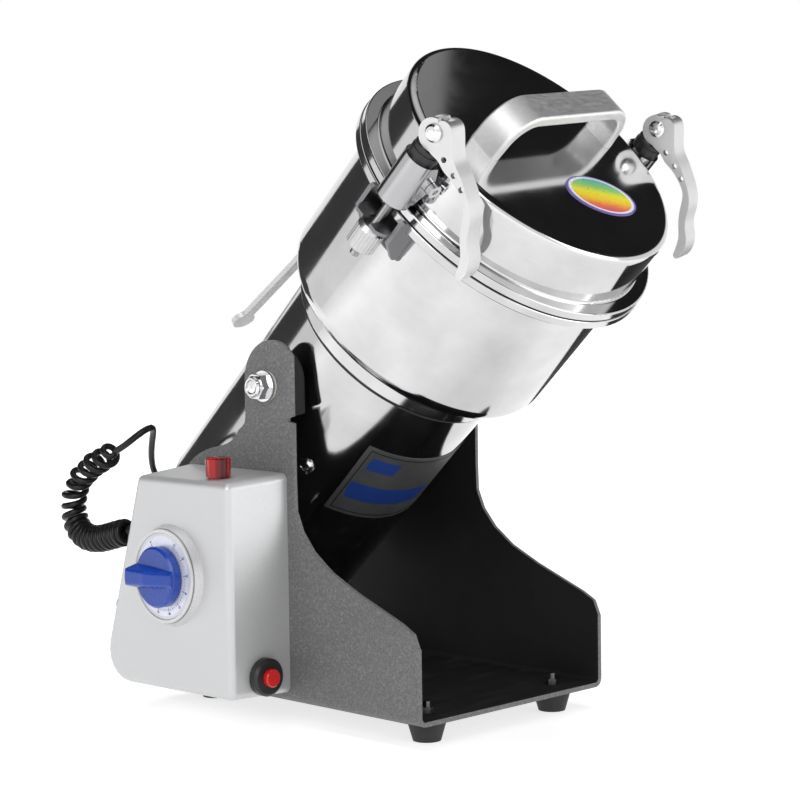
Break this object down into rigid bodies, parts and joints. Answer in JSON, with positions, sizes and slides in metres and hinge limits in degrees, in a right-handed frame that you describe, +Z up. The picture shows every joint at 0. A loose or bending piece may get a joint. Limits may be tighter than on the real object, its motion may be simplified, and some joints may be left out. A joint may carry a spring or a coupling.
{
  "type": "electric grain mill",
  "caption": "Tilting electric grain mill: polished motor tube and lidded grinding chamber with cam clamps, pivoted in a bent steel base with a timer box.",
  "frame": {"origin": "bottom centre of the mill's box without its cord: on the floor, midway in X and Y, with the mill leaning forward as pictured", "axes": "+Z up, -Y is the front that the chamber leans towards, the tilt pivot runs along X and the control box is on the -X side"},
  "size_m": [0.2489, 0.3475, 0.3642],
  "materials": {
    "hammered_paint": "hammered grey paint",
    "polished_steel": "mirror polished stainless steel",
    "satin_steel": "satin stainless steel",
    "fastener_steel": "bright fasteners",
    "silver_box": "fine silver paint",
    "black_rubber": "black rubber",
    "black_plastic": "black plastic",
    "white_plastic": "white dial plastic",
    "blue_plastic": "blue knob plastic",
    "red_lens": "translucent red lens",
    "red_plastic": "red button plastic",
    "nylon": "natural nylon",
    "cord_black": "black cord jacket",
    "lamination": "steel laminations",
    "copper": "copper",
    "casting": "die cast aluminium",
    "badge_foil": "coloured foil",
    "label_foil": "printed foil"
  },
  "bodies": {
    "base": {"base_bracket": "hammered_paint", "rubber_feet": "black_rubber", "foot_bolts": "fastener_steel", "pivot_bushes": "nylon", "control_box_shell": "silver_box", "box_screws": "fastener_steel", "dial_plate": "white_plastic", "timer_body": "black_plastic", "lamp_lens": "red_lens", "breaker_body": "black_plastic", "box_glands": "black_plastic", "curly_cord_coil": "cord_black", "curly_cord_lead": "cord_black"},
    "mill": {"motor_housing": "polished_steel", "housing_screws": "fastener_steel", "motor_mount_ring": "casting", "bottom_cap": "satin_steel", "motor_cord_gland": "black_plastic", "pivot_studs": "fastener_steel", "pivot_spacers": "satin_steel", "pivot_nuts": "fastener_steel", "stator_core": "lamination", "field_coils": "copper", "motor_brackets": "casting", "motor_bearings": "fastener_steel", "brush_holders": "black_plastic", "chamber_shell": "polished_steel", "shaft_seal": "black_rubber", "housing_collar": "polished_steel", "collar_gasket": "black_rubber", "lid_shell": "polished_steel", "lid_seal": "black_rubber", "lid_handle": "satin_steel", "lid_badge": "badge_foil", "rating_label": "label_foil", "tilt_lever": "satin_steel", "lid_lugs": "satin_steel", "lug_screws": "fastener_steel", "chamber_hooks": "satin_steel"},
    "rotor": {"motor_shaft": "fastener_steel", "armature_core": "lamination", "commutator": "copper", "cooling_fan": "black_plastic", "blades": "satin_steel", "blade_fasteners": "fastener_steel"},
    "timer": {"timer_knob": "blue_plastic", "timer_shaft": "fastener_steel"},
    "reset": {"reset_button": "red_plastic"},
    "left_clamp": {"left_clamp_barrel": "polished_steel", "left_cam_washers": "black_plastic"},
    "left_rod_body": {"left_rod": "fastener_steel"},
    "left_lever_body": {"left_lever": "polished_steel", "left_cam_pin": "fastener_steel"},
    "left_nut": {"left_knurled_nut": "fastener_steel"},
    "right_clamp": {"right_clamp_barrel": "polished_steel", "right_cam_washers": "black_plastic"},
    "right_rod_body": {"right_rod": "fastener_steel"},
    "right_lever_body": {"right_lever": "polished_steel", "right_cam_pin": "fastener_steel"},
    "right_nut": {"right_knurled_nut": "fastener_steel"}
  },
  "joints": [
    {"name": "mill_tilt", "type": "hinge", "parent": "base", "child": "mill", "pos_m": [0.01086, 0.03191, 0.1842], "axis": [1, 0, 0], "range_deg": [-46.9, 45], "deforming": ["curly_cord_coil", "curly_cord_lead"]},
    {"name": "rotor_spin", "type": "hinge", "parent": "mill", "child": "rotor", "pos_m": [0.01086, 0.02771, 0.1829], "axis": [0, -0.7305, 0.6829], "continuous": true},
    {"name": "timer_turn", "type": "hinge", "parent": "base", "child": "timer", "pos_m": [-0.10414, 0.06551, 0.0821], "axis": [-1, 0, 0], "range_deg": [-270, 0]},
    {"name": "reset_press", "type": "slide", "parent": "base", "child": "reset", "axis": [0, 1, 0], "range_m": [0, 0.003], "stiffness_N_per_m": 400, "springref_m": -0.003},
    {"name": "left_clamp_swing", "type": "hinge", "parent": "mill", "child": "left_clamp", "pos_m": [-0.0729, -0.09859, 0.29234], "axis": [-0.075, 0.681, 0.7285], "range_deg": [0, 20]},
    {"name": "left_rod_slide", "type": "slide", "parent": "left_clamp", "child": "left_rod_body", "axis": [0, -0.7305, 0.6829], "range_m": [-0.0024, 0]},
    {"name": "left_lever_turn", "type": "hinge", "parent": "left_rod_body", "child": "left_lever_body", "pos_m": [-0.08188, -0.12067, 0.31206], "axis": [-0.9613, -0.1882, -0.2014], "range_deg": [0, 150]},
    {"name": "left_nut_turn", "type": "hinge", "parent": "left_rod_body", "child": "left_nut", "pos_m": [-0.08188, -0.06837, 0.26317], "axis": [0, -0.7305, 0.6829], "continuous": true},
    {"name": "right_clamp_swing", "type": "hinge", "parent": "mill", "child": "right_clamp", "pos_m": [0.09462, -0.08999, 0.30154], "axis": [0.075, -0.681, -0.7285], "range_deg": [0, 20]},
    {"name": "right_rod_slide", "type": "slide", "parent": "right_clamp", "child": "right_rod_body", "axis": [0, -0.7305, 0.6829], "range_m": [-0.0024, 0]},
    {"name": "right_lever_turn", "type": "hinge", "parent": "right_rod_body", "child": "right_lever_body", "pos_m": [0.1036, -0.11115, 0.32225], "axis": [-0.9613, -0.1882, -0.2014], "range_deg": [0, 150]},
    {"name": "right_nut_turn", "type": "hinge", "parent": "right_rod_body", "child": "right_nut", "pos_m": [0.1036, -0.05884, 0.27336], "axis": [0, -0.7305, 0.6829], "continuous": true}
  ],
  "couplings": [
    {"joint": "left_rod_slide", "follows": "left_lever_turn", "m_per_rad": -0.00091673},
    {"joint": "left_clamp_swing", "follows": "left_lever_turn", "ratio": 0.13333},
    {"joint": "right_rod_slide", "follows": "right_lever_turn", "m_per_rad": -0.00091673},
    {"joint": "right_clamp_swing", "follows": "right_lever_turn", "ratio": 0.13333}
  ]
}
